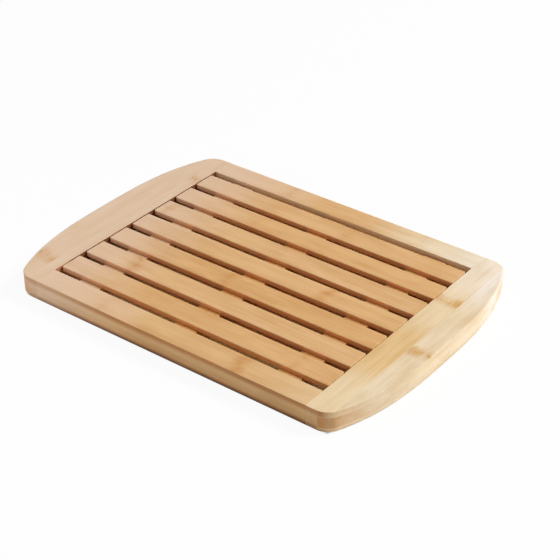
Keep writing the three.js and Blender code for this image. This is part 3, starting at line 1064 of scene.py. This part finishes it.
def seen_directly(shade):
    """Two wires: 1 for what the camera sees directly, and 1 for a reflection or through glass."""
    path = shade.node("LightPath").socket.node
    names = ("Is Camera Ray", "Is Glossy Ray", "Is Transmission Ray")
    camera, glossy, through = (Wire(shade, path.outputs[name]) for name in names)
    return camera, glossy.math("MAXIMUM", through)


def floor_material(colour, end_bow, bow_power):
    """Pale floor that shows nearly white round the board, stays dark under it and keeps a soft shadow."""
    shade = Shade(bpy.data.materials.new("pale_floor"))
    paper = shade.node("BsdfDiffuse", sockets={"Color": opaque(colour)})
    glow = shade.node("Emission", sockets={"Color": opaque(WHITE), "Strength": 1.0})
    x, y, _ = shade.split(shade.node("TexCoord", output="Object"))
    bow = (abs(y) / BOARD_HALF_WIDTH).math("POWER", bow_power) * end_bow
    outside = (abs(x) - (BOARD_HALF_LENGTH - bow)).math("MAXIMUM", abs(y) - BOARD_HALF_WIDTH)
    camera, reflected = seen_directly(shade)
    factor = camera * shade.step(outside, *SEEN_EDGE) + reflected * shade.step(outside, *REFLECTED_EDGE)
    surface = shade.node("MixShader", sockets={0: factor * SEEN_WHITE_SHARE, 1: paper, 2: glow})
    shade.node("OutputMaterial", sockets={"Surface": surface})
    return shade.owner


def set_sky(scene, studio):
    """Soft light, of one strength from behind and another from the front, seen as plain white."""
    world = bpy.data.worlds.new("studio_sky")
    scene.world = world
    shade = Shade(world)
    _, backward, _ = shade.split(shade.node("TexCoord", output="Generated"))
    spread = shade.step(backward, *SKY_RANGE)
    strength = studio.sky_in_front + spread * (studio.sky_behind - studio.sky_in_front)
    camera, reflected = seen_directly(shade)
    seen = camera.math("MAXIMUM", reflected)
    strength = strength * (1 - seen) + seen
    sky = shade.node("Background", sockets={"Color": opaque(WHITE), "Strength": strength})
    shade.node("OutputWorld", sockets={"Surface": sky})


def add_lamp(scene, name, direction, distance, size, power):
    """Square lamp that looks at the board from a direction."""
    lamp = bpy.data.lights.new(name, "AREA")
    lamp.energy = power
    lamp.size = size
    holder = bpy.data.objects.new(name, lamp)
    holder.location = AIM + direction * distance
    holder.rotation_euler = (-direction).to_track_quat("-Z", "Y").to_euler()
    scene.collection.objects.link(holder)


class BREADBOARD_OT_stage(bpy.types.Operator):
    """Sets up the floor, the lamps and the camera"""

    bl_idname = "breadboard.stage"
    bl_label = "Stage"

    def execute(self, context):
        scene = context.scene
        studio = scene.studio_setup
        shape = scene.board_shape
        mesh = bmesh.new()
        bmesh.ops.create_grid(mesh, x_segments=1, y_segments=1, size=FLOOR_SIZE / 2)
        floor = piece_of("floor", mesh)
        floor.location.z = BOARD_LOW.z - FLOOR_DROP
        floor.data.materials.append(floor_material(studio.floor_colour, shape.end_bow, shape.bow_power))
        set_sky(scene, studio)

        for lamp in (
            ("key_lamp", KEY_DIRECTION, studio.key_distance, studio.key_size, studio.key_power),
            ("fill_lamp", FILL_DIRECTION, studio.fill_distance, studio.fill_size, studio.fill_power),
        ):
            add_lamp(scene, *lamp)

        camera = bpy.data.cameras.new("camera")
        camera.sensor_width = SENSOR_WIDTH
        camera.lens = studio.lens
        viewer = bpy.data.objects.new("camera", camera)
        level = math.cos(studio.elevation)
        back = Vector(
            (math.sin(studio.azimuth) * level, -math.cos(studio.azimuth) * level, math.sin(studio.elevation))
        )
        viewer.location = AIM + back * studio.distance
        viewer.rotation_euler = (-back).to_track_quat("-Z", "Y").to_euler()
        scene.collection.objects.link(viewer)
        scene.camera = viewer
        scene.view_settings.view_transform = "Standard"
        return {"FINISHED"}


class BREADBOARD_PT_sidebar(bpy.types.Panel):
    """Lists the settings and the steps that build the board"""

    bl_idname = "BREADBOARD_PT_sidebar"
    bl_label = "Bread Board"
    bl_space_type = "VIEW_3D"
    bl_region_type = "UI"
    bl_category = "Bread Board"

    def draw(self, context):
        scene = context.scene
        for title, group in (
            ("Shape", scene.board_shape),
            ("Bamboo", scene.bamboo_look),
            ("Studio", scene.studio_setup),
        ):
            box = self.layout.box()
            box.label(text=title)
            for name in group.__annotations__:
                box.prop(group, name)
        for step in STEPS:
            self.layout.operator(step.bl_idname)


GROUPS = {"board_shape": BoardShape, "bamboo_look": BambooLook, "studio_setup": StudioSetup}
STEPS = (
    BREADBOARD_OT_end_caps,
    BREADBOARD_OT_rails,
    BREADBOARD_OT_floor_panel,
    BREADBOARD_OT_slats,
    BREADBOARD_OT_cross_bars,
    BREADBOARD_OT_pegs,
    BREADBOARD_OT_stage,
)


def register():
    for cls in (*GROUPS.values(), *STEPS, BREADBOARD_PT_sidebar):
        bpy.utils.register_class(cls)
    for name, group in GROUPS.items():
        setattr(bpy.types.Scene, name, PointerProperty(type=group))


def unregister():
    for name in GROUPS:
        delattr(bpy.types.Scene, name)
    for cls in reversed((*GROUPS.values(), *STEPS, BREADBOARD_PT_sidebar)):
        bpy.utils.unregister_class(cls)


def main():
    register()
    bpy.ops.breadboard.end_caps()
    bpy.ops.breadboard.rails()
    bpy.ops.breadboard.floor_panel()
    bpy.ops.breadboard.slats()
    bpy.ops.breadboard.cross_bars()
    bpy.ops.breadboard.pegs()
    bpy.ops.breadboard.stage()


if __name__ == "__main__":
    main()
